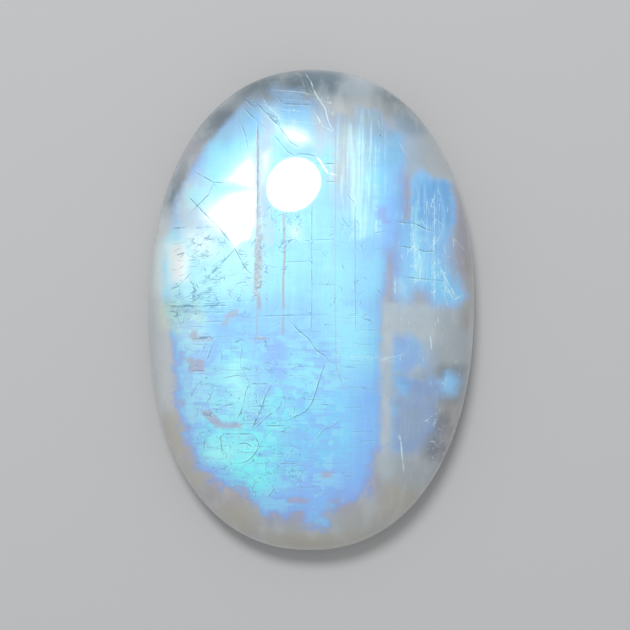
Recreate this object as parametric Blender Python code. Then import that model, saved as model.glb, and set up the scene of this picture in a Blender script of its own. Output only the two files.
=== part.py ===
"""An oval moonstone cabochon: one cut and polished piece of feldspar.

It has a flat back that it rests on, a short upright girdle that a setting can
grip, and a smooth dome over that. Metres, +Z up. The origin is the middle of
the flat back, with the stone's length along Y and its width along X.
"""

import math

import bmesh
import bpy

# Driving dimensions, in metres
WIDTH = 0.0240
LENGTH = 0.0353
HEIGHT = 0.0076
BACK_BEVEL = 0.0004
GIRDLE_TOP = 0.0017
GIRDLE_LEAN = 0.0001

# A power of 2 is an ellipse, and a larger one is fuller between its axes. The
# dome's level rings turn from ellipses at the crown to the outline at the edge.
CROWN_POWER = 2.0
OUTLINE_POWER = 2.2
DOME_POWER = 2.08
BLEND_POWER = 3

# How finely the round shapes are divided
STEPS_AROUND = 96
BEVEL_STEPS = 3
DOME_STEPS = 20
BACK_MIDDLE = 0.5
BACK_RIM = 0.0003
DOME_CROWN = 0.05
SMOOTH_UNDER = math.radians(40)

STONE_COLOUR = (0.62, 0.72, 0.78, 1.0)
STONE_ROUGHNESS = 0.06
FELDSPAR_IOR = 1.525


def clear_scene():
    """Removes whatever the file held before."""
    for obj in list(bpy.data.objects):
        bpy.data.objects.remove(obj)


def signed_power(value, power):
    """Raises the size of a number to a power and keeps its sign."""
    return math.copysign(abs(value) ** power, value)


def ring_point(turn, share, inset):
    """A point of a level ring: a share of the oval, moved straight inwards by the inset."""
    power = CROWN_POWER + (OUTLINE_POWER - CROWN_POWER) * share**BLEND_POWER
    half_x = WIDTH / 2
    half_y = LENGTH / 2
    x = half_x * signed_power(math.cos(turn), 2 / power)
    y = half_y * signed_power(math.sin(turn), 2 / power)
    out_x = signed_power(x / half_x, power - 1) / half_x
    out_y = signed_power(y / half_y, power - 1) / half_y
    reach = math.hypot(out_x, out_y)
    return share * (x - inset * out_x / reach), share * (y - inset * out_y / reach)


def quarter_turns(steps):
    """Angles from none to a quarter turn, evenly spaced."""
    return [math.pi / 2 * step / steps for step in range(steps + 1)]


def section():
    """The stone's rings as share of the outline, inset and height, from back to crown."""
    rings = [(BACK_MIDDLE, 0.0, 0.0), (1.0, BACK_BEVEL + BACK_RIM, 0.0)]
    for turn in quarter_turns(BEVEL_STEPS):
        inset = BACK_BEVEL * (1 - math.sin(turn))
        rings.append((1.0, inset, BACK_BEVEL * (1 - math.cos(turn))))
    for turn in quarter_turns(DOME_STEPS):
        share = max(DOME_CROWN, math.cos(turn) ** (2 / DOME_POWER))
        rise = (1 - share**DOME_POWER) ** (1 / DOME_POWER)
        rings.append((share, GIRDLE_LEAN, GIRDLE_TOP + (HEIGHT - GIRDLE_TOP) * rise))
    return rings


def add_ring(bm, share, inset, height, closed):
    """Adds one level ring of the stone and returns its edges, filled if closed."""
    before = set(bm.edges)
    made = bmesh.ops.create_circle(
        bm,
        cap_ends=closed,
        cap_tris=closed,
        radius=1.0,
        segments=STEPS_AROUND,
    )
    rim = []
    for vert in made["verts"]:
        if vert.co.length > 0.5:
            turn = math.atan2(vert.co.y, vert.co.x)
            vert.co = (*ring_point(turn, share, inset), height)
            rim.append(vert)
        else:
            vert.co = (0.0, 0.0, height)
    new_edges = [edge for edge in bm.edges if edge not in before]
    return [edge for edge in new_edges if all(vert in rim for vert in edge.verts)]


def add_body(bm):
    """Joins ring to ring, from the middle of the back to the crown of the dome."""
    rings = section()
    last = len(rings) - 1
    below = None
    for index, (share, inset, height) in enumerate(rings):
        ring = add_ring(bm, share, inset, height, closed=index in (0, last))
        if below:
            bmesh.ops.bridge_loops(bm, edges=below + ring)
        below = ring
    for vert in bm.verts:
        if math.hypot(vert.co.x, vert.co.y) < 1e-9 and vert.co.z > GIRDLE_TOP:
            vert.co.z = HEIGHT
    bmesh.ops.recalc_face_normals(bm, faces=bm.faces)


def stone_material():
    """Polished feldspar: milky, slightly see-through and pale blue."""
    material = bpy.data.materials.new("polished feldspar")
    material.use_nodes = True
    shader = material.node_tree.nodes["Principled BSDF"]
    shader.inputs["Base Color"].default_value = STONE_COLOUR
    shader.inputs["Roughness"].default_value = STONE_ROUGHNESS
    shader.inputs["Metallic"].default_value = 0.0
    shader.inputs["IOR"].default_value = FELDSPAR_IOR
    return material


def make_stone():
    """The whole stone, which grew and was cut as one piece."""
    bm = bmesh.new()
    add_body(bm)
    mesh = bpy.data.meshes.new("moonstone")
    bm.to_mesh(mesh)
    bm.free()
    mesh.materials.append(stone_material())
    mesh.shade_smooth()
    mesh.set_sharp_from_angle(angle=SMOOTH_UNDER)
    stone = bpy.data.objects.new("moonstone", mesh)
    bpy.context.scene.collection.objects.link(stone)
    return stone


clear_scene()
make_stone()
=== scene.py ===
import math

import bmesh
import bpy
import numpy as np
from mathutils import Matrix, Vector


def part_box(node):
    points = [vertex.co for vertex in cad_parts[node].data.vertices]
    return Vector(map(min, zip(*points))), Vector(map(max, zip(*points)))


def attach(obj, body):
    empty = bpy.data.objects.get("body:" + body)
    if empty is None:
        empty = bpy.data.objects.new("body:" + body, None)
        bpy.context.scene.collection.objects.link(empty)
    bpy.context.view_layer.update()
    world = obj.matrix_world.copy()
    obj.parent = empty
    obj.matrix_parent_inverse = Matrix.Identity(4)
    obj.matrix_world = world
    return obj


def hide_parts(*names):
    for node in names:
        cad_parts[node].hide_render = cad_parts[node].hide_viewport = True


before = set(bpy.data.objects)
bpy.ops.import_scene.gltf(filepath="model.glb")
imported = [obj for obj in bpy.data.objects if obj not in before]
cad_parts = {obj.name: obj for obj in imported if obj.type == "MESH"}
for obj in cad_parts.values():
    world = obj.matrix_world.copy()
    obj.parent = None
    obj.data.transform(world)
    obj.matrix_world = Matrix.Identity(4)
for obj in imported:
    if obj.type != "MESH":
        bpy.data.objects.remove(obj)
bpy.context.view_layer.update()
print("frame loaded")

mm = 0.001

# The photograph's view: straight down on the dome, a little off centre and turned a degree
photo = {
    "pixels": 630,
    "lens": 100.0,
    "sensor": 36.0,
    "eye": (0.2816 * mm, -0.3557 * mm, 129.67 * mm),
    "roll": 0.016,
    "highlight": (292.7, 182.0),  # where the lamp is mirrored, in pixels
}


def hexColour(text):  # sRGB hex to the linear values that shaders take
    values = [int(text[start:start + 2], 16) / 255 for start in (1, 3, 5)]
    linear = [v / 12.92 if v <= 0.04045 else ((v + 0.055) / 1.055) ** 2.4 for v in values]
    return (*linear, 1.0)


def addNode(tree, kind, settings, inputs, output=0):  # one node, with its inputs set or linked
    node = tree.nodes.new(kind)
    for name, value in settings.items():
        setattr(node, name, value)
    for name, value in inputs.items():
        if isinstance(value, bpy.types.NodeSocket):
            tree.links.new(value, node.inputs[name])
        else:
            node.inputs[name].default_value = value
    return node.outputs[output]


def addObject(name, data):
    made = bpy.data.objects.new(name, data)
    bpy.context.scene.collection.objects.link(made)
    return made


# Camera

def makeCamera():
    data = bpy.data.cameras.new("camera")
    data.lens = photo["lens"]
    data.sensor_width = photo["sensor"]
    data.clip_start = 0.001
    camera = addObject("camera", data)
    camera.location = photo["eye"]
    camera.rotation_euler = (0, 0, photo["roll"])
    bpy.context.scene.camera = camera
    return camera


def seenAt(points):  # the photograph's pixels, x right and y down, where points of the stone show
    eye = np.array(photo["eye"])
    reach = photo["pixels"] * photo["lens"] / photo["sensor"]
    away = points - eye
    cosR = math.cos(photo["roll"])
    sinR = math.sin(photo["roll"])
    right = away[:, 0] * cosR + away[:, 1] * sinR
    up = -away[:, 0] * sinR + away[:, 1] * cosR
    middle = photo["pixels"] / 2
    return np.stack([middle - right * reach / away[:, 2], middle + up * reach / away[:, 2]], axis=1)


camera = makeCamera()
print("camera placed")

# The stone's shape: one oval dome with a girdle, a small bevel and a flat back

stone = {
    "cells": (206, 302),  # dome, across and along
    "backCells": (40, 60),
    "girdleTop": 1.7 * mm,
    "girdleRows": 5,
    "lean": 0.1 * mm,
    "bevel": 0.4 * mm,
    "bevelRows": 4,
    "backRim": 0.3 * mm,
    "crownPower": 2.0,
    "outlinePower": 2.2,
    "blendPower": 3,
    "domePower": 2.08,
    "crowding": 0.35,  # how far the dome's rings crowd towards its steep edge
}
low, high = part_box("moonstone")
halfX = (high[0] - low[0]) / 2
halfY = (high[1] - low[1]) / 2
topZ = high[2]


def signedPower(value, power):
    return math.copysign(abs(value) ** power, value)


def ringPoint(turn, share, inset):  # a point of a level ring, a share of the oval less an inset
    power = stone["crownPower"]
    power += (stone["outlinePower"] - power) * share ** stone["blendPower"]
    x = halfX * signedPower(math.cos(turn), 2 / power)
    y = halfY * signedPower(math.sin(turn), 2 / power)
    outX = signedPower(x / halfX, power - 1) / halfX
    outY = signedPower(y / halfY, power - 1) / halfY
    reach = math.hypot(outX, outY)
    return share * (x - inset * outX / reach), share * (y - inset * outY / reach)


def domeHeight(share):
    rise = max(0.0, 1 - share ** stone["domePower"]) ** (1 / stone["domePower"])
    return stone["girdleTop"] + (topZ - stone["girdleTop"]) * rise


def ovalGrid(bm, cells, inset, domed):  # a square grid drawn out to the oval, even in its spacing
    made = bmesh.ops.create_grid(bm, x_segments=cells[0], y_segments=cells[1], size=1)
    for vert in made["verts"]:
        x, y = vert.co.x, vert.co.y
        u = x * math.sqrt(max(0.0, 1 - y * y / 2))
        v = y * math.sqrt(max(0.0, 1 - x * x / 2))
        share = min(1.0, math.hypot(u, v))
        if domed:
            crowding = stone["crowding"]
            share = math.sin(share * math.pi / 2) * crowding + share * (1 - crowding)
        across, along = ringPoint(math.atan2(v, u), share, inset)
        vert.co = (across, along, domeHeight(share) if domed else 0.0)
    return made["verts"]


def openEdges(bm, verts):
    own = set(verts)
    return [e for e in bm.edges if len(e.link_faces) == 1 and e.verts[0] in own]


def stoneBody():
    bm = bmesh.new()
    rim = openEdges(bm, ovalGrid(bm, stone["cells"], stone["lean"], True))
    turns = {}
    for edge in rim:
        for vert in edge.verts:
            turns[vert] = rimTurn(vert)
    rows = []
    for row in range(1, stone["girdleRows"] + 1):  # the girdle, leaning out on its way down
        part = row / stone["girdleRows"]
        height = stone["girdleTop"] * (1 - part) + stone["bevel"] * part
        rows.append((stone["lean"] * (1 - part), height))
    for row in range(1, stone["bevelRows"] + 1):
        turn = math.pi / 2 * row / stone["bevelRows"]
        rows.append((stone["bevel"] * (1 - math.cos(turn)), stone["bevel"] * (1 - math.sin(turn))))
    rows.append((stone["bevel"] + stone["backRim"], 0.0))
    for inset, height in rows:
        made = bmesh.ops.extrude_edge_only(bm, edges=rim)["geom"]
        rim = [g for g in made if isinstance(g, bmesh.types.BMEdge)]
        newTurns = {}
        for vert in [g for g in made if isinstance(g, bmesh.types.BMVert)]:
            below = [e.other_vert(vert) for e in vert.link_edges if e.other_vert(vert) in turns]
            newTurns[vert] = turns[below[0]]
            vert.co = (*ringPoint(newTurns[vert], 1.0, inset), height)
        turns = newTurns
    backEdge = stone["bevel"] + 2 * stone["backRim"]
    back = openEdges(bm, ovalGrid(bm, stone["backCells"], backEdge, False))
    bmesh.ops.triangle_fill(bm, edges=rim + back, normal=(0, 0, -1))
    bmesh.ops.recalc_face_normals(bm, faces=bm.faces)
    bm.verts.index_update()
    bm.faces.sort(key=faceRank)  # an extrusion makes its faces in another order each run
    return bm


def faceRank(face):  # a number from three corners, which no two faces share
    first, second, third = sorted(vert.index for vert in face.verts)[:3]
    return (first * 10**5 + second) * 10**5 + third


def rimTurn(vert):  # the turn that ringPoint was given for a point of the dome's edge
    power = stone["outlinePower"] / 2
    x = signedPower(vert.co.x / (halfX - stone["lean"]), power)
    y = signedPower(vert.co.y / (halfY - stone["lean"]), power)
    return math.atan2(y, x)


def makeStone():
    bm = stoneBody()
    mesh = bpy.data.meshes.new("moonstoneGem")
    bm.to_mesh(mesh)
    bm.free()
    mesh.shade_smooth()
    return addObject("moonstone_gem", mesh)


gem = makeStone()
print("stone shaped,", len(gem.data.polygons), "faces")

# Where the stone shows what. Places and widths are in the photograph's pixels, 13.5 to the mm

glowAreas = {  # where the lamellae lie so that they glow; the glow is a sheen painted into the colour
    "main": [
        (240, 110), (220, 133), (200, 158), (186, 182), (178, 205), (171, 236), (165, 262), (164, 300),
        (173, 326), (176, 358), (177, 392), (180, 412), (186, 433), (193, 455), (205, 473), (222, 483),
        (241, 487), (252, 500), (262, 512), (285, 511), (288, 516), (300, 512), (304, 524), (325, 525),
        (328, 511), (334, 503), (352, 498), (364, 493), (368, 480), (372, 462), (374, 450), (378, 444),
        (379, 300), (385, 285), (386, 252), (396, 244), (403, 215), (402, 136), (386, 129), (378, 110),
        (360, 112), (354, 122), (340, 119), (333, 128), (324, 114), (314, 104), (286, 105), (270, 106),
        (256, 103),
    ],
    "topPatch": [(276, 92), (288, 93), (298, 95), (300, 103), (288, 103), (282, 99)],
    "rightPatch": [
        (411, 181), (419, 170), (432, 179), (450, 183), (454, 207), (453, 224), (448, 238), (445, 262),
        (453, 278), (463, 296), (454, 304), (434, 302), (432, 291), (414, 287), (408, 297), (397, 297),
        (395, 262), (396, 225), (411, 220),
    ],
    "rightMiddle": [(396, 340), (412, 341), (418, 349), (416, 362), (409, 368), (397, 368)],
    "rightBand": [
        (395, 379), (406, 380), (424, 384), (443, 381), (447, 376), (455, 382), (453, 391), (430, 395),
        (400, 396),
    ],
    "rightLow": [(392, 404), (428, 402), (430, 430), (412, 450), (395, 448)],
}

glowSheenTones = {  # the glow's tones, from milky to blue: a painted sheen, its palest tones (ice, snow, glint) painted highlights
    "ice": "#BDEDF7",
    "cyan": "#98E2F8",
    "aqua": "#92E2FA",
    "sky": "#8FCEF8",
    "azure": "#7FD1FE",
    "cornflower": "#88BFFE",
    "periwinkle": "#91B6FA",
    "lavender": "#94ABDF",
    "turquoise": "#7BF8FE",
    "blue": "#6CACE6",
    "mist": "#9BB8CC",
    "pale": "#BBCBD2",
    "leaf": "#BCD6C0",
    "glint": "#A8FBFF",
    "snow": "#D8E6E8",
    "wisteria": "#BFCDE8",
    "cream": "#CCCBBE",
    "haze": "#92A6C2",
    "dusk": "#8CA3C6",
    "deep": "#7896AA",
}

# Softly bounded blocks of the glow's painted sheen: tint, left, top, right, bottom, softness, share
glowBlocks = [
    ("ice", 176, 150, 268, 300, 30, 0.95), ("mist", 236, 92, 256, 114, 8, 0.6),
    ("mist", 262, 84, 320, 106, 6, 0.5), ("azure", 276, 104, 316, 117, 6, 0.7),
    ("azure", 236, 112, 256, 140, 6, 0.6), ("ice", 258, 108, 276, 140, 7, 0.7),
    ("azure", 222, 130, 246, 150, 5, 0.7), ("azure", 196, 176, 214, 194, 7, 0.4),
    ("ice", 244, 140, 257, 156, 5, 0.7), ("aqua", 206, 152, 226, 178, 6, 0.5),
    ("mist", 258, 124, 268, 216, 5, 0.75), ("mist", 338, 118, 352, 150, 6, 0.6),
    ("pale", 310, 104, 346, 128, 8, 0.6), ("pale", 336, 140, 366, 200, 8, 0.45),
    ("aqua", 208, 134, 248, 196, 12, 0.6), ("periwinkle", 190, 150, 206, 204, 8, 0.6),
    ("pale", 174, 176, 196, 230, 9, 0.6), ("lavender", 186, 210, 206, 228, 8, 0.4),
    ("cyan", 262, 118, 282, 200, 10, 0.5), ("aqua", 312, 140, 336, 215, 10, 0.7),
    ("cyan", 262, 206, 352, 312, 14, 0.9), ("aqua", 300, 300, 336, 330, 8, 0.8),
    ("cyan", 330, 306, 366, 362, 6, 0.8), ("ice", 338, 112, 366, 215, 8, 0.75),
    ("mist", 338, 112, 352, 210, 6, 0.5), ("mist", 358, 108, 396, 140, 10, 0.7),
    ("aqua", 366, 150, 378, 232, 5, 0.8), ("azure", 380, 150, 400, 214, 6, 0.75),
    ("sky", 357, 228, 380, 300, 6, 0.7), ("cornflower", 376, 206, 396, 250, 7, 0.5),
    ("lavender", 380, 250, 396, 300, 7, 0.7), ("aqua", 170, 300, 214, 330, 12, 0.7),
    ("leaf", 160, 302, 186, 332, 8, 0.6), ("sky", 214, 296, 330, 362, 12, 0.9),
    ("aqua", 216, 338, 250, 430, 9, 0.85), ("aqua", 282, 352, 318, 412, 9, 0.85),
    ("sky", 176, 330, 216, 430, 14, 0.8), ("cornflower", 262, 336, 284, 386, 8, 0.45),
    ("aqua", 252, 384, 310, 420, 14, 0.55), ("azure", 286, 392, 372, 470, 16, 0.9),
    ("cornflower", 352, 368, 382, 480, 9, 0.8), ("cornflower", 306, 462, 380, 510, 16, 0.9),
    ("periwinkle", 340, 480, 372, 506, 10, 0.6), ("azure", 262, 440, 306, 480, 10, 0.6),
    ("cornflower", 262, 484, 316, 524, 12, 0.8), ("turquoise", 230, 436, 262, 478, 11, 0.9),
    ("turquoise", 248, 462, 270, 494, 9, 0.65), ("turquoise", 212, 438, 244, 464, 9, 0.6),
    ("turquoise", 262, 396, 290, 452, 10, 0.5), ("turquoise", 205, 384, 250, 436, 12, 0.35),
    ("azure", 368, 340, 390, 384, 6, 0.5), ("glint", 222, 439, 236, 456, 5, 0.8),
    ("glint", 209, 444, 221, 460, 5, 0.8), ("glint", 228, 358, 243, 404, 8, 0.8),
    ("sky", 186, 440, 212, 480, 9, 0.8), ("cornflower", 196, 466, 232, 488, 9, 0.7),
    ("cornflower", 232, 484, 256, 504, 8, 0.7), ("sky", 404, 200, 462, 250, 9, 0.6),
    ("blue", 418, 178, 456, 222, 8, 0.9), ("sky", 406, 232, 446, 296, 8, 0.7),
    ("azure", 424, 262, 458, 298, 8, 0.6), ("lavender", 394, 168, 412, 214, 7, 0.6),
    ("periwinkle", 394, 330, 412, 372, 9, 0.5), ("blue", 396, 374, 432, 396, 8, 0.7),
    ("haze", 390, 398, 440, 456, 10, 0.95), ("periwinkle", 267, 342, 282, 378, 5, 0.5),
    ("sky", 388, 134, 401, 204, 4, 0.6), ("periwinkle", 386, 196, 396, 250, 4, 0.4),
    ("dusk", 404, 380, 440, 398, 6, 0.9), ("dusk", 394, 336, 420, 372, 8, 0.45),
    ("deep", 236, 84, 330, 107, 8, 0.5), ("cream", 312, 106, 338, 148, 8, 0.45),
    ("cream", 338, 106, 352, 180, 6, 0.45), ("cream", 352, 106, 392, 128, 8, 0.4),
    ("wisteria", 258, 118, 270, 250, 6, 0.55), ("snow", 176, 172, 212, 262, 10, 0.35),
    ("cornflower", 330, 194, 398, 262, 12, 0.3), ("blue", 398, 190, 452, 256, 12, 0.35),
    ("ice", 178, 300, 206, 424, 8, 0.3), ("ice", 206, 366, 256, 420, 12, 0.2),
    ("turquoise", 196, 426, 262, 448, 8, 0.3), ("aqua", 296, 350, 372, 392, 12, 0.3),
    ("ice", 356, 150, 374, 239, 2, 0.3), ("deep", 236, 96, 402, 128, 12, 0.3),
    ("deep", 362, 112, 402, 168, 10, 0.3), ("sky", 262, 188, 400, 262, 16, 0.25),
    ("mist", 300, 130, 366, 210, 12, 0.18), ("ice", 156, 238, 198, 300, 9, 0.85),
    ("leaf", 158, 303, 182, 330, 7, 0.5), ("ice", 178, 312, 214, 350, 10, 0.4),
    ("turquoise", 208, 428, 264, 452, 8, 0.35), ("turquoise", 250, 426, 276, 464, 8, 0.4),
    ("aqua", 338, 324, 380, 374, 8, 0.4), ("aqua", 360, 262, 380, 300, 6, 0.4),
    ("mist", 360, 106, 385, 137, 5, 0.4), ("blue", 430, 178, 456, 228, 8, 0.6),
    ("lavender", 376, 208, 386, 226, 3, 0.7), ("cyan", 354, 202, 376, 240, 3, 0.4),
    ("glint", 410, 202, 420, 284, 5, 0.35), ("glint", 206, 437, 256, 462, 9, 0.45),
    ("turquoise", 236, 456, 284, 492, 9, 0.4), ("leaf", 180, 300, 206, 322, 6, 0.5),
    ("mist", 204, 102, 246, 142, 8, 0.5), ("glint", 178, 252, 252, 304, 14, 0.35),
    ("glint", 188, 184, 208, 206, 6, 0.5), ("ice", 178, 312, 202, 336, 6, 0.45),
    ("ice", 388, 284, 408, 300, 4, 0.5),
]

bodyTints = {  # the milky stone round it, darker where it is clear: slate and deep are partly painted shade, the dark a clear rim shows through it
    "milk": "#B0BBC3",
    "pearl": "#C3D1DA",
    "slate": "#607683",
    "bluish": "#A9C6E2",
    "warm": "#BDB9AE",
    "brown": "#A39A92",
    "rim": "#CBD1D3",
    "bright": "#D8F2F2",
    "yellowGreen": "#D2E2D4",
    "purple": "#757587",
    "grey": "#959A9F",
    "mauve": "#9F9DAA",
    "deep": "#4C626F",
    "dusk": "#929DAA",
    "lilac": "#A9AAC2",
}

# slate and deep blocks are painted shade, mostly along the upper rim
bodyBlocks = [
    ("pearl", 322, 76, 380, 118, 16, 0.6), ("bluish", 300, 70, 336, 96, 12, 0.5),
    ("slate", 236, 70, 316, 92, 12, 0.8), ("grey", 190, 96, 240, 150, 14, 0.6),
    ("purple", 214, 108, 233, 132, 6, 0.7), ("slate", 384, 84, 424, 126, 16, 0.7),
    ("bluish", 376, 116, 420, 176, 14, 0.7), ("milk", 420, 130, 460, 180, 12, 0.7),
    ("slate", 166, 176, 196, 222, 10, 0.5), ("rim", 152, 214, 184, 420, 14, 0.8),
    ("bright", 156, 240, 184, 296, 12, 0.9), ("yellowGreen", 160, 300, 188, 328, 8, 0.8),
    ("warm", 160, 412, 200, 460, 14, 0.9), ("warm", 180, 470, 260, 540, 20, 0.8),
    ("milk", 250, 490, 380, 530, 14, 0.8), ("warm", 260, 532, 380, 552, 10, 0.9),
    ("warm", 380, 480, 440, 530, 14, 0.8), ("mauve", 178, 140, 200, 172, 10, 0.6),
    ("mauve", 453, 181, 470, 275, 8, 0.8), ("bluish", 378, 244, 452, 320, 12, 0.95),
    ("pearl", 384, 296, 452, 345, 10, 0.85), ("bluish", 378, 345, 436, 452, 12, 0.85),
    ("pearl", 380, 300, 394, 480, 8, 0.7), ("milk", 436, 300, 470, 400, 10, 0.8),
    ("milk", 400, 448, 440, 490, 10, 0.7), ("brown", 440, 400, 466, 460, 10, 0.7),
    ("purple", 424, 412, 450, 462, 9, 0.8), ("brown", 462, 250, 478, 330, 6, 0.5),
    ("deep", 230, 66, 345, 100, 16, 0.6), ("warm", 330, 98, 392, 130, 10, 0.4),
    ("dusk", 396, 372, 440, 450, 10, 0.6), ("deep", 226, 84, 330, 108, 12, 0.35),
    ("slate", 340, 84, 384, 104, 10, 0.25), ("lilac", 328, 494, 360, 516, 6, 0.75),
    ("lilac", 366, 472, 379, 498, 4, 0.6), ("lilac", 262, 508, 308, 524, 6, 0.7),
    ("lilac", 200, 474, 258, 504, 8, 0.35), ("lilac", 394, 176, 412, 222, 5, 0.8),
    ("lilac", 384, 250, 397, 302, 5, 0.7), ("lilac", 446, 236, 464, 290, 6, 0.5),
    ("deep", 376, 84, 406, 112, 10, 0.55), ("deep", 400, 102, 428, 134, 10, 0.4),
    ("slate", 316, 66, 340, 92, 8, 0.5), ("warm", 344, 506, 400, 542, 12, 0.5),
    ("warm", 232, 512, 264, 542, 10, 0.5), ("warm", 174, 454, 204, 486, 10, 0.5),
    ("slate", 194, 102, 244, 142, 10, 0.4), ("slate", 168, 160, 192, 206, 6, 0.55),
    ("slate", 204, 108, 236, 132, 5, 0.35), ("grey", 176, 140, 200, 190, 8, 0.5),
    ("slate", 438, 364, 468, 404, 6, 0.5), ("lilac", 412, 288, 434, 304, 5, 0.5),
]

# Cracks that come through the polish, as fine grooves: half width in pixels, depth, points
openCracks = {
    "top": (1.2, 0.022 * mm, [
        (305.7, 74), (310.7, 81.4), (313.6, 90), (318.6, 98.6), (325, 108), (328.6, 123), (334.3, 131.4),
    ]),
    "hook": (1.2, 0.03 * mm, [(316.4, 157), (320.7, 163.6), (327, 173), (336.4, 175)]),
    "streak": (1.3, 0.03 * mm, [(374, 357.5), (386, 358), (396, 356), (406, 353)]),
    "slant": (1.0, 0.02 * mm, [(189, 197), (204, 213), (219, 228), (234, 247), (245, 268), (254, 277)]),
    "right": (1.0, 0.025 * mm, [
        (397, 221.4), (405.7, 222.9), (412.9, 223), (418.6, 225), (424.3, 228.6), (435.7, 232),
    ]),
    "bend": (1.0, 0.02 * mm, [
        (289, 320), (299, 331), (308, 338), (316, 350), (325, 356), (331, 363),
    ]),
}
pits = [  # middle, radius in pixels, depth: pinholes and small nicks in the polish
    ((380.7, 135.4), 1.5, 0.05 * mm), ((370.7, 108.6), 1.2, 0.04 * mm), ((372, 198), 1.0, 0.03 * mm),
    ((360.7, 76.4), 1.6, 0.05 * mm), ((407.9, 105), 1.5, 0.04 * mm), ((449.3, 167), 1.6, 0.05 * mm),
]

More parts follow.
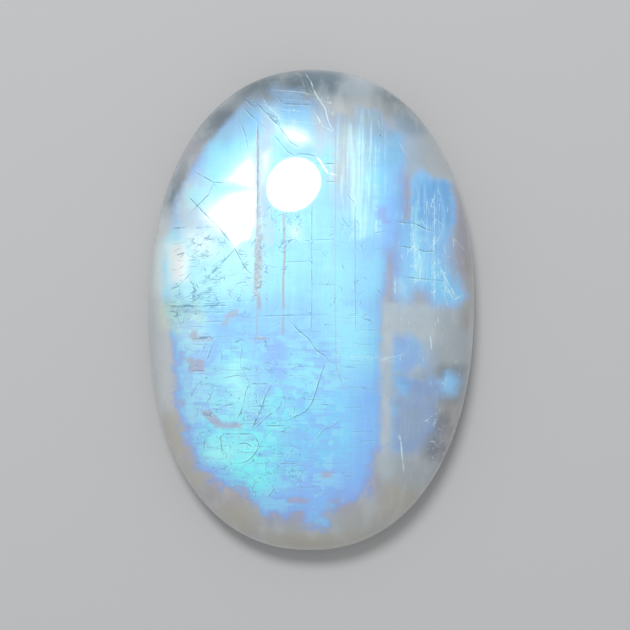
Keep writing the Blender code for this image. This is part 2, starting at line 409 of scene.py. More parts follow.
# Cracks: strength, width in pixels, then their points
darkCracks = [
    (0.8, 1.2, openCracks["bend"][2]),
    (0.9, 1.2, [(325, 364), (321, 374), (317, 388), (312, 403), (306, 411), (299, 415), (291, 418)]),
    (0.6, 1.1, [(335, 425), (326, 428), (320, 434), (313, 445)]),
    (1.0, 1.2, [(249, 385), (246, 391), (243.5, 403.5)]),
    (0.9, 1.2, [(243.5, 403.5), (241, 412), (238, 417)]),
    (0.8, 1.1, [(340, 420), (333, 426), (327, 429)]), (0.6, 1.1, [(336, 366), (339, 376), (342, 384)]),
    (0.7, 1.1, [(322, 404.5), (328, 405)]), (0.6, 1.1, [(198, 337), (232, 336)]),
    (0.7, 1.1, [(223, 378), (238, 375), (246, 378)]), (0.7, 1.1, [(252, 384), (268, 383.5)]),
    (0.9, 1.2, [(271.5, 385), (266, 394), (262, 407), (257, 418.5), (252, 428.5)]),
    (0.8, 1.2, [(281.5, 399), (281, 405), (276, 411), (269, 415), (263.5, 420), (255, 428)]),
    (0.7, 1.2, [(224, 406), (234, 404)]), (0.7, 1.2, [(251, 406.5), (276, 405.7)]),
    (0.6, 1.1, [(241, 413.5), (265, 412)]), (0.6, 1.1, [(241, 420.7), (253.5, 420)]),
    (0.8, 1.3, [(266, 425.7), (283.5, 425.7)]), (0.7, 1.2, [(190.7, 370.7), (205, 370.7)]),
    (0.6, 1.1, [(216, 372), (222, 370), (228, 370)]), (0.9, 1.4, [(223.5, 434), (253, 434)]),
    (0.8, 1.2, [(253, 434), (258.5, 443), (258, 448.5), (253.5, 455.7), (248, 460.7), (242, 463)]),
    (0.8, 1.2, [(223.5, 434), (220, 437), (221.5, 446), (222, 454)]),
    (0.7, 1.1, [(226, 452), (226.4, 458.5)]), (0.9, 1.2, [(238.5, 444), (245, 443), (252, 446.5)]),
    (0.7, 1.1, [(258.5, 446.4), (265, 446.4)]), (0.7, 1.1, [(255, 484), (250.7, 490)]),
    (0.7, 1.1, [(275, 488.5), (267.8, 497)]), (0.4, 1.1, [(305, 468.5), (292, 490)]),
    (0.5, 1.1, [(294, 487), (318, 487)]), (0.6, 1.1, [(280, 463.5), (296.4, 463.3)]),
    (0.6, 1.1, [(283, 446.4), (295.7, 445.7)]), (0.6, 1.1, [(276, 454), (285.7, 454)]),
    (0.8, 1.1, [(216.4, 338.5), (212, 346), (208.5, 355.7), (206.4, 360)]),
    (0.7, 1.1, [(223.6, 341.4), (220, 350), (222, 357), (220.7, 365.7)]),
    (0.4, 1.1, [(240, 341.4), (242, 349), (240.5, 358), (241, 367), (246, 376), (249, 383)]),
    (0.7, 1.1, [(192, 394), (198, 384), (200.7, 381.4), (202, 388.6)]),
    (0.7, 1.1, [(205.7, 404), (210, 398), (213.6, 390)]), (0.6, 1.1, [(212, 408.6), (222, 410)]),
    (0.7, 1.2, [(192, 339), (213.6, 338)]), (0.6, 1.1, [(203.6, 450), (205, 438.6), (211.4, 434)]),
    (0.6, 1.1, [(312, 204), (311, 250), (312, 290), (311, 332)]),
    (0.5, 1.1, [(355, 204), (355, 270), (355.5, 332)]), (0.6, 1.1, [(347, 194), (355, 204)]),
    (0.6, 1.1, [(340.7, 211.4), (342.9, 220), (352.9, 231.4)]),
    (0.85, 1.3, [(257.6, 119), (258, 160), (257.4, 200), (257.6, 218)]),
    (0.9, 1.4, [(244, 98), (255, 108)]), (0.9, 1.4, [(256, 102), (265, 112), (278, 125), (283, 133)]),
    (0.8, 1.3, [(244, 108), (254, 118), (269, 131)]), (0.7, 1.2, [(240, 121), (244, 131), (248, 147)]),
    (0.8, 1.2, [(275, 136), (288, 152), (295, 156)]), (0.8, 1.3, [(195, 172), (213, 182), (225, 183)]),
    (0.8, 1.3, [(213, 184), (209, 194), (198, 205), (190, 213)]), (0.9, 1.3, openCracks["slant"][2]),
    (0.8, 1.2, [(243, 241), (234, 250), (223, 262), (209, 276), (204, 284)]),
    (0.6, 1.2, [(227, 226), (250, 225)]), (0.6, 1.2, [(211, 289), (220, 304)]),
    (0.9, 1.3, [(168, 306), (200, 306), (229, 305)]),
    (0.6, 1.2, [(178, 300), (190, 296), (203, 300), (214, 302)]),
    (0.6, 1.2, [(166, 292), (180, 285), (192, 272)]),
    (0.6, 1.1, [(262, 316), (290, 315.5), (330, 314.5)]), (0.6, 1.2, [(176, 312), (225, 312)]),
    (0.6, 1.2, [(205, 322), (223, 321)]), (0.6, 1.2, [(204, 278), (228, 278)]),
    (0.6, 1.2, [(286, 314), (320, 315)]), (0.6, 1.2, [(301, 330), (320, 332)]),
    (0.5, 1.1, [(312, 240), (335, 239)]), (0.5, 1.1, [(284, 262), (312, 261)]),
    (0.5, 1.1, [(312, 284), (335, 285)]), (0.8, 1.3, openCracks["right"][2]),
    (0.7, 1.2, [(398.6, 245.7), (412.9, 247.9)]),
    (0.7, 1.2, [(417, 248.6), (424.3, 251.4), (435.7, 250.7)]), (0.7, 1.2, [(402, 277), (447, 281)]),
    (0.6, 1.1, [(374, 233), (385.7, 230.7)]), (0.9, 1.3, [(315.7, 163.6), (335, 163.6)]),
    (0.8, 1.3, [(327, 181.7), (335, 181.7)]), (0.9, 1.4, [(297, 153.6), (308.6, 154.3), (315.7, 156.4)]),
    (0.8, 1.3, [(283, 103.6), (298, 104.4), (313, 105)]), (0.7, 1.2, [(277, 96), (283, 103)]),
    (0.7, 1.2, [(265, 112), (276, 117), (283, 131), (290, 142), (299, 147)]),
    (0.9, 2.0, [(380.7, 134.6), (380.7, 136.2)]), (0.7, 1.4, [(370.7, 108.0), (370.7, 109.4)]),
    (0.6, 1.2, [(372, 197.4), (372, 198.8)]),
]

paleCracks = [
    (0.75, 1.6, openCracks["top"][2]),
    (0.7, 1.3, [(313.6, 111.4), (318.6, 118.6), (323.6, 127), (333.6, 131.4)]),
    (0.45, 1.2, [(272, 90), (300, 92), (313, 95)]), (0.3, 1.2, [(282, 99), (312, 102)]),
    (0.35, 1.2, [(258, 104), (286, 110), (306, 112)]), (0.25, 1.2, [(270, 118), (300, 122), (322, 124)]),
    (0.5, 1.2, [(262, 96), (268, 108), (280, 116)]), (0.25, 1.2, [(300, 74), (304, 86), (306, 96)]),
    (1.0, 2.0, openCracks["hook"][2]), (0.35, 1.1, [(385, 127), (385, 160), (385.2, 198)]),
    (0.3, 1.4, [(327, 358), (350, 357), (376, 357.5)]), (0.6, 1.6, openCracks["streak"][2]),
    (0.7, 1.3, [(412.9, 205.7), (411.4, 218.6), (414.3, 241.4), (416.4, 270), (415, 284)]),
    (0.6, 1.2, [(434.3, 193), (434.6, 234), (434, 300)]),
    (0.7, 1.3, [(436, 262), (442, 270), (448, 283), (456, 296)]),
    (0.6, 1.2, [(418, 248), (421, 262), (420, 282)]), (0.5, 1.2, [(452.9, 237), (465.7, 251.4)]),
    (0.4, 1.1, [(435.7, 218.6), (444.3, 227)]), (0.7, 1.4, [(443, 283), (454, 300), (463, 295)]),
    (0.8, 1.6, [(395, 275), (395, 295)]), (0.8, 1.8, [(400, 436), (404, 472)]),
    (0.8, 1.8, [(430, 335), (432, 350)]), (0.6, 1.4, [(446, 377), (446, 386)]),
    (0.6, 1.1, [(398.6, 141.4), (401, 146), (406, 154), (410, 160)]),
    (0.8, 1.6, [(438, 428), (441, 430)]), (0.7, 1.4, [(432, 457), (434, 459)]),
    (0.7, 1.6, [(360.5, 75), (360.8, 78)]),
]

tanCracks = [
    (0.7, 3.4, [(257.6, 128), (257.8, 170), (258, 206)]),
    (0.75, 5.0, [(257.8, 196), (258.5, 225), (258.8, 246)]),
    (0.8, 8.5, [(258.8, 232), (258.5, 260), (257.5, 284), (258, 300)]),
    (0.8, 5.0, [(257.8, 290), (258.6, 300), (259, 311)]), (0.5, 2.0, [(257, 306), (257, 338)]),
    (0.85, 2.6, [(283.5, 212), (284.5, 250), (283, 290), (283.5, 312)]),
    (0.7, 2.4, [(283, 312), (283, 337)]), (0.6, 1.4, [(335.4, 125), (335.6, 200), (335, 238)]),
    (0.4, 1.3, [(335, 238), (335, 300), (336, 372)]), (0.6, 1.6, [(253.5, 338.5), (265.7, 338.5)]),
]

# Small dull patches between lamellae, with crisp edges
dullAreas = [
    [(184, 358), (203, 359), (204, 365), (206, 372), (190, 372), (189, 365)],
    [(192, 330), (197, 329), (199, 337), (213, 338), (212, 341), (192, 341), (189, 336)],
    [(200, 411), (210, 410), (216, 417), (222, 422), (243, 424), (241, 429), (216, 428), (208, 420)],
    [(286, 498), (300, 497), (308, 499), (308, 503), (288, 503)],
    [(222, 325), (227, 313), (239, 309), (237, 315), (229, 319), (227, 326)],
    [(320, 472), (332, 471), (334, 477), (322, 478)],
    [(254, 337), (266, 337), (266, 340), (254, 340)],
]

# Where planes in the stone throw the lamp's light straight back, painted as near-white highlights in the
# colour and given a metallic lobe: softness in pixels, share, corners
flashAreas = [
    (22, 0.75, [(250, 158), (254, 168), (254, 188), (236, 183), (226, 181), (238, 168)]),
    (24, 0.9, [(206, 217), (213, 207), (230, 195), (254, 192), (253, 224), (228, 230), (220, 231)]),
    (9, 0.7, [(224, 230), (252, 226), (252, 238), (242, 241), (235, 250)]),
    (14, 1.0, [(168, 246), (183, 243), (188, 258), (185, 280), (172, 281)]),
    (20, 0.6, [(281, 128), (294, 127), (306, 133), (310, 141), (300, 145), (286, 139)]),
    (20, 0.45, [(184, 230), (208, 234), (216, 254), (192, 256)]),
    (14, 0.35, [(288, 226), (300, 225), (301, 239), (290, 239)]),
    (12, 0.4, [(262, 154), (270, 150), (268, 170), (262, 186)]),
]

# How strongly the two sets of fine lines show: left, top, right, bottom, softness, share
uprightLines = [
    (336, 106, 378, 200, 8, 0.85), (350, 190, 376, 240, 2, 0.7), (404, 180, 456, 300, 10, 0.4),
    (262, 204, 334, 330, 14, 0.2), (355, 300, 380, 400, 10, 0.12),
]
levelLines = [
    (165, 232, 262, 335, 16, 0.42), (180, 330, 345, 520, 18, 0.55), (262, 204, 334, 330, 12, 0.15),
]
calmAreas = [  # where the glow is even and the fine lines show less
    (206, 436, 258, 464, 8, 0.6), (224, 358, 246, 402, 8, 0.6), (244, 462, 280, 494, 8, 0.4),
    (160, 226, 256, 304, 8, 0.6),
]


crackLook = {  # lengths in pixels
    "reach": 6.0,  # how far from a crack its values are kept
    "fade": 2.5,
    "taper": 8.0,  # how long its ends are
    "blunt": 0.3,
    "narrowing": 0.8,  # of the widths in the lists
    "fineMesh": 3.2,  # how far from an open crack the mesh is divided more finely
}
farAway = 1e9


def smooth(value):  # eases a value from 0 to 1
    share = np.clip(value, 0, 1)
    return share * share * (3 - 2 * share)


def rise(value, start, end):  # 0 at the start and 1 at the end, also where the end is the lower one
    return smooth((value - start) / (end - start))


def segmentDistance(pts, start, end):  # how far a straight part is, on which side, how far along
    line = np.subtract(end, start)
    along = np.clip(((pts - start) @ line) / (line @ line), 0, 1)
    away = pts - (np.array(start) + along[:, None] * line)
    side = np.sign(line[0] * (pts[:, 1] - start[1]) - line[1] * (pts[:, 0] - start[0]))
    return np.hypot(away[:, 0], away[:, 1]), side, along


def insideDistance(pts, corners):  # how far inside an area each point is, less than 0 outside
    nearest = np.full(len(pts), farAway)
    crossings = np.zeros(len(pts), dtype=int)
    ring = np.array(corners + corners[:1], float)
    for start, end in zip(ring[:-1], ring[1:]):
        nearest = np.minimum(nearest, segmentDistance(pts, start, end)[0])
        spans = (start[1] > pts[:, 1]) != (end[1] > pts[:, 1])
        fall = end[1] - start[1]
        if fall:
            crossX = start[0] + (pts[:, 1] - start[1]) * (end[0] - start[0]) / fall
            crossings += spans & (pts[:, 0] < crossX)
    return np.where(crossings % 2 == 1, nearest, -nearest)


def insideAny(pts, areas):
    return np.maximum.reduce([insideDistance(pts, corners) for corners in areas])


def blockShare(pts, left, top, right, bottom, soft, share):  # a block's share, rounded at its corners
    outX = np.maximum(left - pts[:, 0], pts[:, 0] - right)
    outY = np.maximum(top - pts[:, 1], pts[:, 1] - bottom)
    out = np.hypot(np.maximum(outX + soft, 0), np.maximum(outY + soft, 0)) - soft
    return share * rise(out, soft, -soft)


def paintBlocks(pts, base, blocks, tints):
    colours = np.tile(np.array(hexColour(tints[base])), (len(pts), 1))
    for tint, *block in blocks:
        weight = blockShare(pts, *block)[:, None]
        colours = colours * (1 - weight) + np.array(hexColour(tints[tint])) * weight
    return colours


def jagged(pts, rng):  # moves places a little, in steps, so that blocks end raggedly as lamellae do
    many = 400
    rows = rng.uniform(-1, 1, many)
    columns = rng.uniform(-1, 1, many)
    x, y = pts[:, 0], pts[:, 1]
    row = rows[(y / 4.0).astype(int) % many] + rows[(y / 11.0).astype(int) % many]
    column = columns[(x / 4.5).astype(int) % many] + columns[(x / 13.0).astype(int) % many]
    sway = np.sin(y / 23.0) * 2 + np.sin(x / 17.0 + 1.0) * 2
    return pts + np.stack([row * 2.2 + sway, column * 2.6 - sway], axis=1)


def blocky(pts, width, height, rng):  # random values in blocks with short soft edges
    many = 260
    values = rng.uniform(-1, 1, (many, many))
    x = np.clip(pts[:, 0] / width, 0, many - 10)
    y = np.clip(pts[:, 1] / height, 0, many - 10)
    column, row = x.astype(int), y.astype(int)
    right, below = rise(x - column, 0.7, 1.0), rise(y - row, 0.7, 1.0)
    upper = values[row, column] * (1 - right) + values[row, column + 1] * right
    lower = values[row + 1, column] * (1 - right) + values[row + 1, column + 1] * right
    return upper * (1 - below) + lower * below


def stretches(line):  # a line's straight parts, with the length before each, and its whole length
    points = np.array(line, float)
    lengths = np.hypot(*(points[1:] - points[:-1]).T)
    before = np.cumsum(lengths) - lengths
    return zip(points[:-1], points[1:], before, lengths), lengths.sum()


def crackFields(pts, cracks):  # side: signed distance over width; amount: strength near the crack
    side = np.full(len(pts), 9.0)
    amount = np.zeros(len(pts))
    nearest = np.full(len(pts), farAway)
    reach = crackLook["reach"]
    for strength, width, line in cracks:
        parts, total = stretches(line)
        ends = min(crackLook["taper"], total / 3)
        for start, end, before, length in parts:
            lowest = np.minimum(start, end) - reach
            highest = np.maximum(start, end) + reach
            local = np.nonzero(np.all((pts > lowest) & (pts < highest), axis=1))[0]
            distance, sign, along = segmentDistance(pts[local], start, end)
            close = distance < nearest[local]
            local, distance, sign, along = local[close], distance[close], sign[close], along[close]
            place = before + along * length
            taper = smooth(np.minimum(place, total - place) / ends + crackLook["blunt"])
            side[local] = sign * distance / (width * crackLook["narrowing"])
            amount[local] = strength * taper * rise(distance, reach, reach - crackLook["fade"])
            nearest[local] = distance
    return side, amount


def addValues(mesh, name, values):
    layer = mesh.attributes.new(name, "FLOAT", "POINT")
    layer.data.foreach_set("value", np.ascontiguousarray(values, dtype=np.float32))


def addColours(mesh, name, colours):
    layer = mesh.attributes.new(name, "FLOAT_COLOR", "POINT")
    layer.data.foreach_set("color", np.ascontiguousarray(colours, dtype=np.float32).ravel())


# Marks too many to place one by one, drawn at random: how many, left, top, right, bottom, ...
fineAreas = [  # short bent cracks between the cleavage sheets, ... length
    (34, 182, 335, 300, 500, 4.0), (170, 182, 330, 310, 500, 1.6), (260, 200, 390, 300, 500, 0.5),
    (90, 170, 232, 250, 322, 2.6), (34, 258, 203, 312, 224, 2.6), (26, 279, 212, 288, 250, 1.8),
    (40, 250, 240, 266, 300, 2.0), (60, 262, 220, 380, 330, 2.2), (60, 262, 220, 380, 330, 0.6),
]
fleckAreas = [  # bright strokes where lamellae end, mostly upright, ... length
    (50, 396, 178, 458, 300, 3.5), (30, 396, 300, 462, 480, 1.4), (16, 340, 120, 380, 240, 5.0),
]
sparkAreas = [  # tiny bright breaks, painted as glints, ... strongest
    (34, 372, 350, 406, 364, 1.0), (16, 326, 355, 374, 360, 0.8), (30, 427, 408, 446, 462, 0.8),
    (50, 255, 204, 261, 300, 0.7), (14, 281, 212, 285, 236, 0.8), (10, 430, 380, 446, 388, 0.7),
    (34, 411, 222, 419, 292, 0.9), (22, 432, 196, 438, 302, 0.7), (18, 430, 252, 452, 300, 0.6),
    (14, 316, 92, 334, 134, 0.8), (16, 262, 92, 300, 134, 0.5),
]
strokeAreas = [  # grey strokes in the bright upper left, level or rising to the right
    (30, 172, 226, 206, 256), (26, 178, 250, 214, 300), (22, 200, 240, 246, 304),
    (18, 164, 296, 206, 314),
]
tickArea = (170, 180, 300, 365, 505)  # level cracks along the cleavage


def fineCracks(rng):
    cracks = []
    for many, left, top, right, bottom, size in fineAreas:
        for _ in range(many):
            x = rng.uniform(left, right)
            y = rng.uniform(top, bottom)
            turn = rng.choice([0.0, 0.0, 0.9, -0.9, 1.4]) + rng.normal(0, 0.25)
            line = [(x, y)]
            for _ in range(3):
                length = rng.uniform(0.6, 1.2) * size
                x += length * math.cos(turn)
                y += length * math.sin(turn)
                turn += rng.normal(0, 0.5)
                line.append((x, y))
            cracks.append((rng.uniform(0.35, 0.85), 0.85, line))
    return cracks


def brightFlecks(rng):
    flecks = []
    for many, left, top, right, bottom, size in fleckAreas:
        for _ in range(many):
            x = rng.uniform(left, right)
            y = rng.uniform(top, bottom)
            lean = rng.normal(0, 0.25)
            line = [(x, y)]
            for _ in range(2):
                length = rng.uniform(0.7, 1.6) * size
                x += length * lean + rng.normal(0, 0.4)
                y += length
                line.append((x, y))
            flecks.append((rng.uniform(0.25, 0.65), 1.0, line))
    for many, left, top, right, bottom, strongest in sparkAreas:
        for _ in range(many):
            x = rng.uniform(left, right)
            y = (top + bottom) / 2 + rng.normal(0, 0.32) * (bottom - top) / 2
            if bottom - top > 40:  # spread evenly down a tall area
                y = rng.uniform(top, bottom)
            line = [(x, y), (x + rng.normal(0, 1.5), y + rng.normal(0, 1.2))]
            flecks.append((rng.uniform(0.5, 1.0) * strongest, 1.1, line))
    return flecks


def greyStrokes(rng):
    strokes = []
    for many, left, top, right, bottom in strokeAreas:
        for _ in range(many):
            x = rng.uniform(left, right)
            y = rng.uniform(top, bottom)
            length = rng.uniform(4, 12)
            rises = length * rng.normal(-0.15, 0.3)
            bend = (x + length / 2, y + rises / 2 + rng.normal(0, 0.5))
            strokes.append((rng.uniform(0.3, 0.7), 1.4, [(x, y), bend, (x + length, y + rises)]))
    return strokes


def cleavageTicks(rng):
    ticks = []
    many, left, top, right, bottom = tickArea
    for _ in range(many):
        x = rng.uniform(left, right)
        y = rng.uniform(top, bottom)
        length = rng.uniform(5, 22)
        tilt = rng.normal(0, 0.03)
        ticks.append((rng.uniform(0.2, 0.6), 0.85, [(x, y), (x + length, y + length * tilt)]))
    return ticks


def grooveDepths(pts):  # how deep the grooves and pits are, and how near in pixels, at each place
    depth = np.zeros(len(pts))
    nearest = np.full(len(pts), farAway)
    for width, deepest, line in openCracks.values():
        parts, total = stretches(line)
        for start, end, before, length in parts:
            distance, _, along = segmentDistance(pts, start, end)
            place = before + along * length
            uneven = 0.75 + 0.25 * np.sin(place * 0.9)
            taper = rise(np.minimum(place, total - place), 0, 6) * uneven
            depth = np.maximum(depth, deepest * taper * rise(distance, width, 0))
            nearest = np.minimum(nearest, distance)
    for middle, radius, deepest in pits:
        distance = np.hypot(*(pts - middle).T)
        depth = np.maximum(depth, deepest * rise(distance, radius, 0))
        nearest = np.minimum(nearest, distance)
    return depth, nearest


def cutGrooves(mesh):  # divides the mesh finely along the grooves, then sinks them into the dome
    bm = bmesh.new()
    bm.from_mesh(mesh)
    above = stone["girdleTop"] + 0.01 * mm
    nearest = grooveDepths(seenAt(np.array([vert.co for vert in bm.verts])))[1]
    bm.verts.index_update()
    finer = {vert for vert in bm.verts if vert.co.z > above and nearest[vert.index] < crackLook["fineMesh"]}
    close = [edge for edge in bm.edges if all(vert in finer for vert in edge.verts)]
    bmesh.ops.subdivide_edges(bm, edges=close, cuts=2, use_grid_fill=True)
    bmesh.ops.triangulate(bm, faces=[face for face in bm.faces if len(face.verts) > 4])
    bm.normal_update()
    depth = grooveDepths(seenAt(np.array([vert.co for vert in bm.verts])))[0]
    for vert, sink in zip(bm.verts, depth):
        if sink > 0 and vert.co.z > above:
            vert.co -= vert.normal * sink
    bm.to_mesh(mesh)
    bm.free()
    mesh.shade_smooth()
    print("grooves cut,", len(close), "edges divided, deepest", round(float(depth.max()) / mm, 3), "mm")


def markGlow(mesh, pts, ragged, front, rng):
    x, y = pts[:, 0], pts[:, 1]
    edge = insideAny(pts, glowAreas.values())
    addValues(mesh, "plane", 0.7 * front * rise(edge, -22, 26))
    stepped = np.maximum(  # the lower edges are sharper, in steps
        rise(y, 300, 340) * rise(x, 374, 362),
        rise(y, 435, 450) * rise(x, 392, 386),
    )
    straight = rise(y, 240, 270) * rise(x, 393, 389)  # the right edge, along a crack
    crisp = np.maximum(  # the upper corners
        rise(x, 356, 370) * rise(y, 236, 216),
        rise(x, 246, 234) * rise(y, 206, 182),
    )
    steps = 4.0 * blocky(pts, 9.0, 8.0, rng) + 1.8 * blocky(pts, 5.0, 4.5, rng)
    edge = edge + (0.15 + 0.85 * stepped) * steps
    edge *= 1 + 0.45 * stepped + 0.9 * np.maximum(straight * (1 - stepped), crisp)
    addValues(mesh, "glowEdge", edge)
    plain = rise(y, 215, 235) * rise(y, 345, 325) * rise(x, 225, 205)  # no blue fringe at the left
    addValues(mesh, "fringe", (0.3 + 0.5 * stepped) * (1 - 0.9 * plain))
    # the glow's sheen, painted into the colour
    addColours(mesh, "glowPaintedSheen", paintBlocks(ragged, "sky", glowBlocks, glowSheenTones))


def markBody(mesh, pts, front):  # the foot and the back are milkier, and keep 0.4 of the tones
    body = paintBlocks(pts, "milk", bodyBlocks, bodyTints)
    milk = np.array(hexColour(bodyTints["milk"]))
    addColours(mesh, "bodyTint", milk + (body - milk) * (0.4 + 0.6 * front)[:, None])


def markAreas(mesh, pts, ragged, height):
    addValues(mesh, "dullEdge", insideAny(pts, dullAreas))
    flash = np.zeros(len(pts))
    for soft, share, corners in flashAreas:
        flash = np.maximum(flash, share * smooth(0.5 + insideDistance(pts, corners) / soft))
    addValues(mesh, "flash", flash * rise(height, 1 * mm, 2 * mm))
    for name, areas in (("upright", uprightLines), ("level", levelLines)):
        share = np.full(len(pts), 0.08)  # a trace of the lines is everywhere
        for area in areas:
            share = np.maximum(share, blockShare(ragged, *area))
        for area in calmAreas:
            share = share * (1 - blockShare(ragged, *area))
        addValues(mesh, name, share)


def markCracks(mesh, pts, steep, rng):
    cracks = {
        "dark": darkCracks + greyStrokes(rng),
        "pale": paleCracks + brightFlecks(rng),
        "tan": tanCracks,
        "tick": cleavageTicks(rng) + fineCracks(rng),
    }
    for name, lines in cracks.items():
        side, amount = crackFields(pts, lines)
        addValues(mesh, name + "Side", side)
        addValues(mesh, name + "Amount", amount * (1 - 0.9 * steep))


def markStone(mesh):
    coords = np.empty(len(mesh.vertices) * 3)
    mesh.vertices.foreach_get("co", coords)
    coords = coords.reshape(-1, 3)
    height = coords[:, 2]
    pts = seenAt(coords)
    rng = np.random.default_rng(7)
    ragged = jagged(pts, rng)
    front = rise(height, 0.2 * mm, 1.4 * mm)  # 0 on the back and 1 on the dome
    steep = rise(height, 0, 0.2 * mm) * (1 - rise(height, 1.9 * mm, 2.8 * mm))  # the sides
    addValues(mesh, "front", front)
    markGlow(mesh, pts, ragged, front, rng)
    markBody(mesh, pts, front)
    markAreas(mesh, pts, ragged, height)
    markCracks(mesh, pts, steep, rng)


cutGrooves(gem.data)
markStone(gem.data)
print("stone marked")

# Polished moonstone, an orthoclase feldspar with albite lamellae: a clear glassy polish over a
# milky body, and a blue glow from the lamellae. The glow is mostly a sheen painted into the colour;
# only a small metallic lobe on the lamellae's plane comes and goes with the light

gemLook = {
    "coatRoughness": 0.05,
    "feldsparIor": 1.525,
    "specularLevel": 0.2,
    "glowMetal": 0.1,
    "glowRoughness": 0.42,
    "glowScatter": 0.25,
    "flashMetal": 0.4,
    "flashRoughness": 0.3,
    "rimClear": 0.08,
    "bodyScatter": 0.8,
    "scatterRadius": (1.0, 0.95, 0.9),
    "scatterScale": 2.0 * mm,
    "planeNormal": (-0.05, 0.17, 0.98),  # the lamellae lean a little back from the dome's top
}
# Noise: per mm across, along and upwards, detail, roughness. Single lamellae are too thin to show,
# so they are drawn in bands a quarter of a mm wide
gemNoises = {
    "lamellae": ((4.2, 0.2, 0.2), 5.0, 0.65),
    "sheets": ((0.35, 4.5, 0.3), 5.0, 0.6),  # the level cleavage
    "cloud": ((0.25, 0.25, 0.25), 6.0, 0.55),
    "grain": ((2.2, 2.2, 2.2), 5.0, 0.6),
    "wisps": ((0.7, 0.3, 0.5), 5.0, 0.55),
    "breaks": ((1.4, 1.4, 1.4), 3.0, 0.5),
}
gemCells = {"blocks": (1.1, 0.8, 0.3), "patches": (1.5, 2.1, 0.5)}  # square cells, per mm
gemMarks = [
    "front", "plane", "glowEdge", "fringe", "dullEdge", "flash", "upright", "level",
    "darkSide", "darkAmount", "paleSide", "paleAmount", "tanSide", "tanAmount", "tickSide", "tickAmount",
]
# Tones in the order they are laid: pattern, where it starts and is full, its most, where, colour
gemTones = {
    "bodyTint": [
        ("cloud", 0.4, 0.7, 0.3, 1.0, "#C4CCCF"),
        ("grain", 0.5, 0.75, 0.15, 1.0, "#8F969C"),
        ("wisps", 0.48, 0.72, 0.28, 1.0, "#D9E2E8"),
    ],
    # the glow's painted sheen, laid over the milky body's tones
    "glowPaintedSheen": [
        ("lamellae", 0.5, 0.59, 0.65, "upright", "#C4F1F8"),
        ("lamellae", 0.48, 0.4, 0.5, "upright", "#98B2BE"),
        ("patches", 0.6, 0.75, 0.75, "level", "#92B8F8"),
        ("patches", 0.35, 0.2, 0.6, "level", "#9EECFB"),
        ("sheets", 0.48, 0.34, 0.4, "level", "#7FA2CC"),
        ("sheets", 0.56, 0.7, 0.35, "level", "#B4F2FC"),
        ("cloud", 0.5, 0.3, 0.15, 1.0, "#6FA0E6"),
        ("edge", 12.0, -4.0, 1.0, "fringe", "#93ACE6"),
        ("dull", -2.0, 2.2, 0.7, 1.0, "#ADA9BE"),
    ],
}
lineTones = [
    # flash: a painted highlight, the lamp mirrored in planes inside the stone
    ("flash", "#F4FEFF"),
    ("tanLine", "#A6AEB4"),
    # painted highlights beside the dark cracks and the ticks
    ("darkEdge", "#D6FBFF"),
    ("tickEdge", "#D6FBFF"),
    ("tickLine", "#4C86AE"),
    ("darkLine", "#4A829E"),
    ("paleLine", "#DFFCFF"),
]


def workOut(tree, values, steps):  # each step: name, operation, then numbers or names of earlier values
    for name, operation, *terms in steps:
        terms = [values.get(term, term) for term in terms]
        if operation == "SMOOTHSTEP":
            inputs = dict(zip(("Value", "From Min", "From Max", "To Min", "To Max"), terms))
            values[name] = addNode(tree, "ShaderNodeMapRange", {"interpolation_type": operation}, inputs)
        else:
            values[name] = addNode(tree, "ShaderNodeMath", {"operation": operation}, dict(enumerate(terms)))


def layTone(tree, colour, share, tone):
    inputs = {0: share, 6: colour, 7: hexColour(tone)}
    return addNode(tree, "ShaderNodeMix", {"data_type": "RGBA"}, inputs, 2)


def gemPatterns(tree):  # the marks on the mesh, and the noise and cells in mm
    values = {}
    for name in gemMarks:
        values[name] = addNode(tree, "ShaderNodeAttribute", {"attribute_name": name}, {}, "Fac")
    place = addNode(tree, "ShaderNodeTexCoord", {}, {}, "Object")
    inMm = addNode(tree, "ShaderNodeMapping", {}, {"Vector": place, "Scale": (1 / mm, 1 / mm, 1 / mm)})
    for name, (scale, detail, roughness) in gemNoises.items():
        mapped = addNode(tree, "ShaderNodeMapping", {}, {"Vector": inMm, "Scale": scale})
        values[name] = addNode(tree, "ShaderNodeTexNoise", {}, {
            "Vector": mapped, "Scale": 1.0, "Detail": detail, "Roughness": roughness,
        }, "Fac")
    for name, scale in gemCells.items():
        mapped = addNode(tree, "ShaderNodeMapping", {}, {"Vector": inMm, "Scale": scale})
        cells = addNode(tree, "ShaderNodeTexVoronoi", {"distance": "CHEBYCHEV"}, {
            "Vector": mapped, "Scale": 1.0, "Randomness": 1.0,
        }, "Color")
        values[name] = addNode(tree, "ShaderNodeSeparateColor", {}, {"Color": cells})
    return values


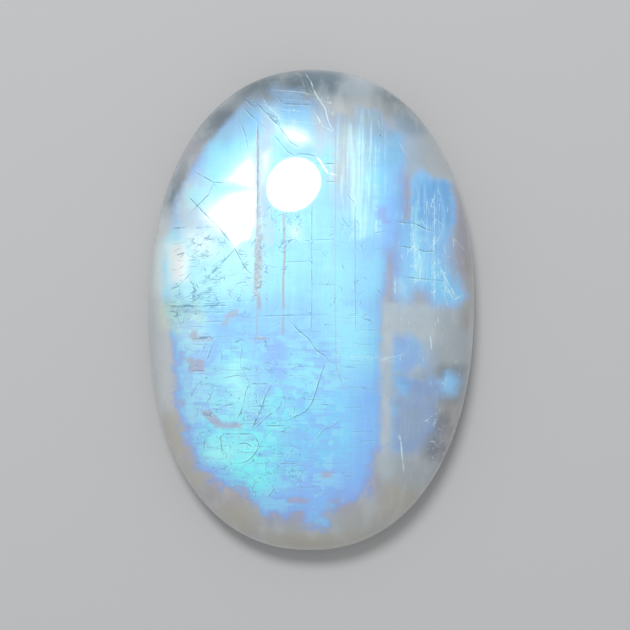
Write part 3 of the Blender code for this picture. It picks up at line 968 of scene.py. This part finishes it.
def gemShares(tree, values):  # how much of the glow, flash and crack lines shows
    workOut(tree, values, [
        ("sway", "SUBTRACT", "grain", 0.5),
        ("blockSway", "SUBTRACT", "blocks", 0.5),
        ("edge", "MULTIPLY_ADD", "blockSway", 4.0, "glowEdge"),
        ("edge", "MULTIPLY_ADD", "sway", 8.0, "edge"),
        ("inside", "SMOOTHSTEP", "edge", -12.0, 4.0),
        ("facing", "SMOOTHSTEP", "front", 0.0, 1.0, 0.35, 1.0),  # the girdle and back get a little of the painted sheen
        ("glow", "MULTIPLY", "inside", "facing"),
        ("patches", "ADD", "patches", "sway"),
        ("dull", "MULTIPLY_ADD", "sway", 7.0, "dullEdge"),
        ("glitter", "SMOOTHSTEP", "grain", 0.3, 0.55, 0.75, 1.0),
        ("flash", "MULTIPLY", "flash", "glitter"),
        ("wobble", "MULTIPLY", "sway", 1.2),
        ("whole", "SMOOTHSTEP", "breaks", 0.38, 0.56, 0.35, 1.0),
    ])
    for name, core in (("dark", 0.1), ("pale", 0.1), ("tan", 0.4), ("tick", 0.1)):
        workOut(tree, values, [
            ("side", "ADD", name + "Side", "wobble"),
            ("away", "ABSOLUTE", "side"),
            ("line", "SMOOTHSTEP", "away", 0.75, core),
            ("amount", "MULTIPLY", name + "Amount", 1.0 if name == "tan" else "whole"),
            (name + "Line", "MULTIPLY", "line", "amount"),
        ])
        if name in ("dark", "tick"):  # a painted highlight beside a crack in the glow, the bright edge it seems to throw
            workOut(tree, values, [
                ("beside", "SUBTRACT", "side", 1.2),
                ("beside", "ABSOLUTE", "beside"),
                ("beside", "SMOOTHSTEP", "beside", 0.9, 0.1, 0.0, 0.35),
                ("beside", "MULTIPLY", "beside", "amount"),
                (name + "Edge", "MULTIPLY", "beside", "glow"),
            ])
    workOut(tree, values, [("tickLine", "MULTIPLY", "tickLine", "glow")])


def gemColour(tree, values):
    layers = {}
    for name, tones in gemTones.items():
        colour = addNode(tree, "ShaderNodeAttribute", {"attribute_name": name}, {}, "Color")
        for pattern, start, full, most, where, tone in tones:
            workOut(tree, values, [
                ("share", "SMOOTHSTEP", pattern, start, full, 0.0, most),
                ("share", "MULTIPLY", "share", where),
            ])
            colour = layTone(tree, colour, values["share"], tone)
        layers[name] = colour
    colour = addNode(tree, "ShaderNodeMix", {"data_type": "RGBA"}, {
        0: values["glow"], 6: layers["bodyTint"], 7: layers["glowPaintedSheen"],
    }, 2)
    for name, tone in lineTones:
        colour = layTone(tree, colour, values[name], tone)
    return colour


def moonstoneMaterial():
    material = bpy.data.materials.new("polished moonstone")
    material.use_nodes = True
    tree = material.node_tree
    shader = tree.nodes["Principled BSDF"]
    values = gemPatterns(tree)
    gemShares(tree, values)
    colour = gemColour(tree, values)
    workOut(tree, values, [
        ("clear", "SUBTRACT", 1.0, "glow"),
        ("clear", "MULTIPLY", "clear", gemLook["rimClear"]),
        ("glowMetal", "MULTIPLY", "glow", gemLook["glowMetal"]),
        ("flashMetal", "MULTIPLY", "flash", gemLook["flashMetal"]),
        ("metal", "MAXIMUM", "glowMetal", "flashMetal"),
        ("rough", "SMOOTHSTEP", "flash", 0.0, 1.0, gemLook["glowRoughness"], gemLook["flashRoughness"]),
        ("scatter", "SMOOTHSTEP", "glow", 0.0, 1.0, gemLook["bodyScatter"], gemLook["glowScatter"]),
    ])
    facing = addNode(tree, "ShaderNodeNewGeometry", {}, {}, "Normal")
    plane = addNode(tree, "ShaderNodeVectorTransform", {
        "vector_type": "NORMAL", "convert_from": "OBJECT", "convert_to": "WORLD",
    }, {"Vector": gemLook["planeNormal"]})
    bent = addNode(tree, "ShaderNodeMix", {"data_type": "VECTOR"}, {
        0: values["plane"], 4: facing, 5: plane,
    }, 1)
    for name, source in {
        "Base Color": colour, "Normal": bent, "Metallic": values["metal"], "Roughness": values["rough"],
        "Transmission Weight": values["clear"], "Subsurface Weight": values["scatter"],
    }.items():
        tree.links.new(source, shader.inputs[name])
    for name, value in {
        "IOR": gemLook["feldsparIor"], "Specular IOR Level": gemLook["specularLevel"],
        "Coat Weight": 1.0, "Coat Roughness": gemLook["coatRoughness"], "Coat IOR": gemLook["feldsparIor"],
        "Subsurface Radius": gemLook["scatterRadius"], "Subsurface Scale": gemLook["scatterScale"],
    }.items():
        shader.inputs[name].default_value = value
    return material


gem.data.materials.append(moonstoneMaterial())
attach(gem, "root")
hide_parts("moonstone")
print("stone finished")

# Studio: a pale matt floor, one round soft lamp and an even surround

studio = {
    "floorColour": "#BFC0C1",
    "floorSize": 1.2,
    "lampAway": 300 * mm,
    "lampSize": (112 * mm, 80 * mm),
    "lampPower": 0.5,
    "surround": 0.52,
}


def makeFloor():
    bm = bmesh.new()
    bmesh.ops.create_grid(bm, x_segments=1, y_segments=1, size=studio["floorSize"] / 2)
    mesh = bpy.data.meshes.new("floor")
    bm.to_mesh(mesh)
    bm.free()
    floor = addObject("floor", mesh)
    material = bpy.data.materials.new("matt paper")
    material.use_nodes = True
    shader = material.node_tree.nodes["Principled BSDF"]
    shader.inputs["Base Color"].default_value = hexColour(studio["floorColour"])
    shader.inputs["Roughness"].default_value = 0.9
    shader.inputs["Specular IOR Level"].default_value = 0.2
    mesh.materials.append(material)


def highlightPoint():  # the dome's point and normal where the photograph shows the lamp
    dome = [vert for vert in gem.data.vertices if vert.co.z > stone["girdleTop"]]
    away = seenAt(np.array([vert.co for vert in dome])) - photo["highlight"]
    nearest = dome[int(np.argmin(np.hypot(*away.T)))]
    return nearest.co.copy(), nearest.normal.copy()


def makeLamp():
    spot, normal = highlightPoint()
    toEye = (camera.location - spot).normalized()
    toLamp = 2 * toEye.dot(normal) * normal - toEye
    data = bpy.data.lights.new("soft lamp", "AREA")
    data.shape = "ELLIPSE"
    data.size, data.size_y = studio["lampSize"]
    data.energy = studio["lampPower"]
    lamp = addObject("soft lamp", data)
    lamp.location = spot + toLamp * studio["lampAway"]
    across = Vector((1, 0, 0)) - toLamp * toLamp.x
    across.normalize()
    along = toLamp.cross(across)
    lamp.rotation_euler = Matrix((across, along, toLamp)).transposed().to_euler()
    print("lamp direction", [round(v, 3) for v in toLamp])


def makeSurround():
    world = bpy.data.worlds.new("studio")
    world.use_nodes = True
    background = world.node_tree.nodes["Background"]
    background.inputs["Color"].default_value = (1, 1, 1, 1)
    background.inputs["Strength"].default_value = studio["surround"]
    bpy.context.scene.world = world


makeFloor()
makeLamp()
makeSurround()
bpy.context.scene.view_settings.view_transform = "Standard"
print("studio lit")
